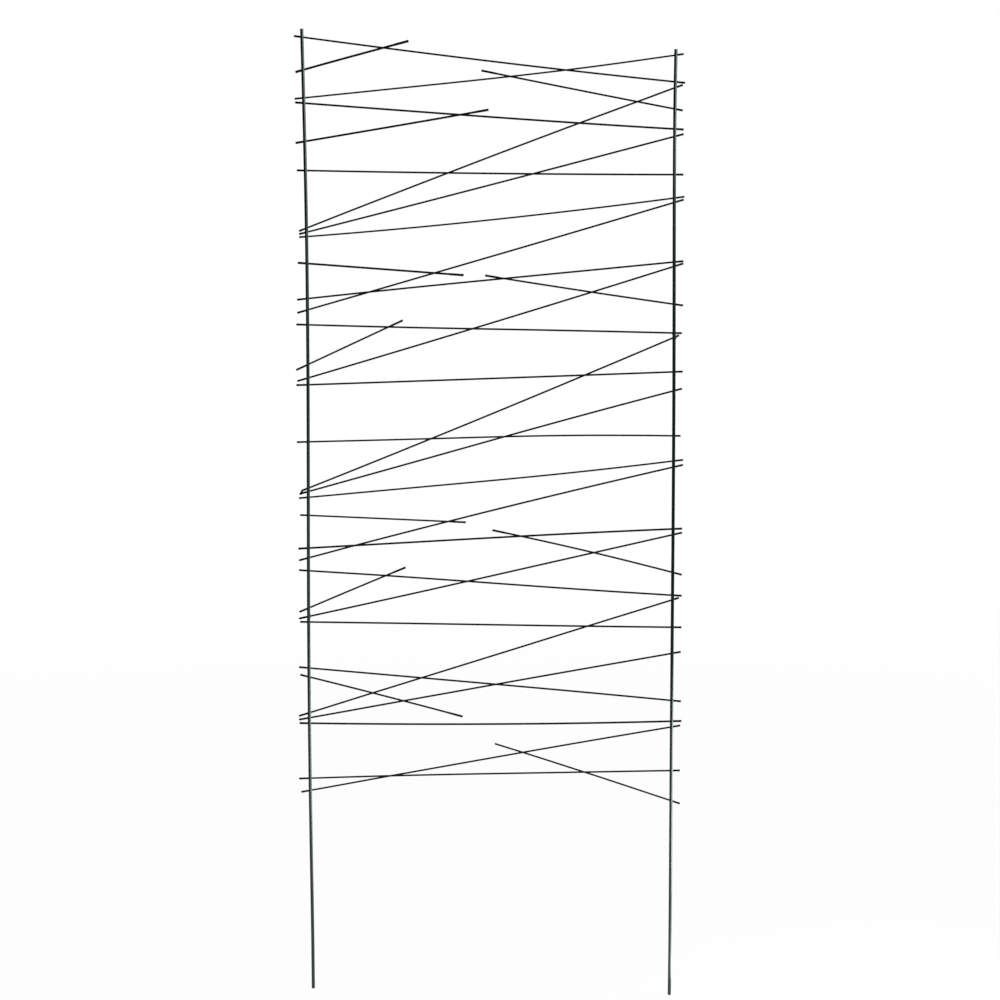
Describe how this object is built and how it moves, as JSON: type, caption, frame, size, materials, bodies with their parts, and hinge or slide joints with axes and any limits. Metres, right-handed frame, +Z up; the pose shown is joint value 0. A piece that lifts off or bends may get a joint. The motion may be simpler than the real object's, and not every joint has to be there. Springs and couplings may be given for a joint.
{
  "type": "garden trellis",
  "caption": "Upright garden trellis: thin slanted wires welded across the backs of plain round rods, whose bare lower ends push into the soil.",
  "frame": {"origin": "midway between the straight lines that the two upright rods follow, level with their lower ends", "axes": "+Z up along the rods, +X from the left rod to the right rod seen from the front, +Y towards the back, where the wires lie"},
  "size_m": [0.7325, 0.0149, 1.829],
  "materials": {
    "rod_coat": "dark green-black powder coat with a low sheen",
    "wire_coat": "dark green-black powder coat with a low sheen"
  },
  "bodies": {
    "root": {"left_upright": "rod_coat", "right_upright": "rod_coat", "cross_wire_01": "wire_coat", "cross_wire_02": "wire_coat", "cross_wire_03": "wire_coat", "cross_wire_04": "wire_coat", "cross_wire_05": "wire_coat", "cross_wire_06": "wire_coat", "cross_wire_07": "wire_coat", "cross_wire_08": "wire_coat", "cross_wire_09": "wire_coat", "cross_wire_10": "wire_coat", "cross_wire_11": "wire_coat", "cross_wire_12": "wire_coat", "cross_wire_13": "wire_coat", "cross_wire_14": "wire_coat", "cross_wire_15": "wire_coat", "cross_wire_16": "wire_coat", "cross_wire_17": "wire_coat", "cross_wire_18": "wire_coat", "cross_wire_19": "wire_coat", "cross_wire_20": "wire_coat", "cross_wire_21": "wire_coat", "cross_wire_22": "wire_coat", "cross_wire_23": "wire_coat", "cross_wire_24": "wire_coat", "cross_wire_25": "wire_coat", "cross_wire_26": "wire_coat", "cross_wire_27": "wire_coat", "short_wire_01": "wire_coat", "short_wire_02": "wire_coat", "short_wire_03": "wire_coat", "short_wire_04": "wire_coat", "short_wire_05": "wire_coat", "short_wire_06": "wire_coat", "short_wire_07": "wire_coat", "short_wire_08": "wire_coat", "short_wire_09": "wire_coat", "short_wire_10": "wire_coat", "short_wire_11": "wire_coat"}
  },
  "joints": []
}
